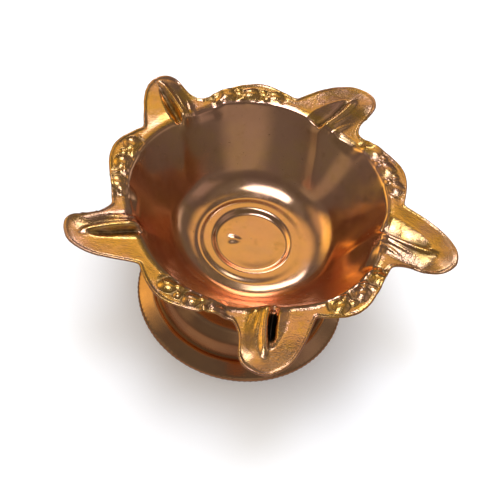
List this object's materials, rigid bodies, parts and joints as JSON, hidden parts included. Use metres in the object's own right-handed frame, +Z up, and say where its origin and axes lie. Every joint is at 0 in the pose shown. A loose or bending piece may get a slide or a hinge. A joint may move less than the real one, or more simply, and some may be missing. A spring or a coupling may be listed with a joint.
{
  "type": "five-wick diya oil lamp",
  "caption": "Small footed oil lamp: a pressed brass dish with a scalloped rim and swirling spouted lips for wicks, on a spun hollow stand.",
  "frame": {"origin": "on the lamp's axis, in the plane that the foot stands on", "axes": "+Z up along the lamp's axis; +X through the middle of one wick lip's root"},
  "size_m": [0.0829, 0.0844, 0.038],
  "materials": {
    "bowl_brass": "polished inside the dish, satin on the flange and lips",
    "stand_brass": "spun and lightly polished, duller than the dish",
    "solder": "dull soft solder"
  },
  "bodies": {
    "root": {"bowl": "bowl_brass", "stand": "stand_brass", "solder_joint": "solder"}
  },
  "joints": []
}
